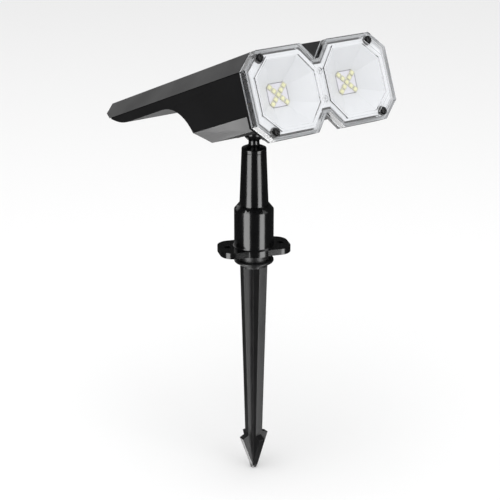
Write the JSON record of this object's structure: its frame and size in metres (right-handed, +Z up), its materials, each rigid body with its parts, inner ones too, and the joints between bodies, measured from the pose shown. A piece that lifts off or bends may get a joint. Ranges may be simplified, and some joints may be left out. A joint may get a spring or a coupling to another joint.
{
  "type": "solar garden light",
  "caption": "Twin-octagon solar spotlight with a long panel roof on a ball joint, a tapered pole, a screw-down collar and a barbed ground spike.",
  "frame": {"origin": "on the spike's axis at ground level, the underside of the spike's flange", "axes": "+Z up along the pole, X along the ears of the collar; the head is stored turned 20 degrees from -Y about Z, with its lens tilted 22.5 degrees up"},
  "size_m": [0.1665, 0.2212, 0.3348],
  "materials": {
    "housing_black": "fine moulded texture",
    "seal_rubber": "soft matte",
    "steel_screw": "zinc plated",
    "panel_glass": "clear, flat",
    "solar_cell": "blue silicon with grid lines",
    "panel_board": "navy board",
    "clear_cover": "clear polycarbonate",
    "gasket": "soft matte",
    "black_screw": "black oxide",
    "reflector_white": "satin white",
    "led_board": "white solder mask",
    "led_phosphor": "yellow phosphor, unlit",
    "cradle": "moulded",
    "cell_wrap": "blue shrink wrap",
    "cell_cap": "nickel plated",
    "circuit_green": "solder mask",
    "component_black": "moulded",
    "ferrite": "matte",
    "wire": "soft PVC",
    "button_rubber": "soft matte",
    "bezel_black": "moulded",
    "stand_gloss": "polished black",
    "spike_black": "satin black"
  },
  "bodies": {
    "stake": {"pole": "stand_gloss", "wall_collar": "stand_gloss", "ground_spike": "spike_black"},
    "swivel": {"ball_stud": "stand_gloss"},
    "head": {"housing_lower": "housing_black", "housing_top": "housing_black", "housing_seal": "seal_rubber", "housing_screws": "steel_screw", "solar_glass": "panel_glass", "solar_cells": "solar_cell", "panel_board": "panel_board", "lens_cover": "clear_cover", "lens_gasket": "gasket", "lens_screws": "black_screw", "reflector": "reflector_white", "reflector_screws": "steel_screw", "led_board_left": "led_board", "led_board_right": "led_board", "leds_left": "led_phosphor", "leds_right": "led_phosphor", "battery_cradle": "cradle", "battery_cell": "cell_wrap", "battery_end_caps": "cell_cap", "control_board": "circuit_green", "controller_chips": "component_black", "storage_inductor": "ferrite", "charge_capacitor": "component_black", "button_switch": "component_black", "battery_leads": "wire", "panel_leads": "wire", "led_leads_left": "wire", "led_leads_right": "wire", "button_bezel": "bezel_black", "socket_ring": "bezel_black", "ring_screws": "steel_screw"},
    "button": {"mode_button": "button_rubber"}
  },
  "joints": [
    {"name": "pole_swivel", "type": "hinge", "parent": "stake", "child": "swivel", "pos_m": [0, 0, 0.0955], "axis": [0, 0, 1], "continuous": true},
    {"name": "head_tilt", "type": "hinge", "parent": "swivel", "child": "head", "pos_m": [0, 0, 0.0955], "axis": [0.9397, 0.342, 0], "range_deg": [-17.5, 52.5]},
    {"name": "button_press", "type": "slide", "parent": "head", "child": "button", "axis": [-0.1309, 0.3596, 0.9239], "range_m": [0, 0.0012], "stiffness_N_per_m": 800, "springref_m": -0.0008}
  ]
}
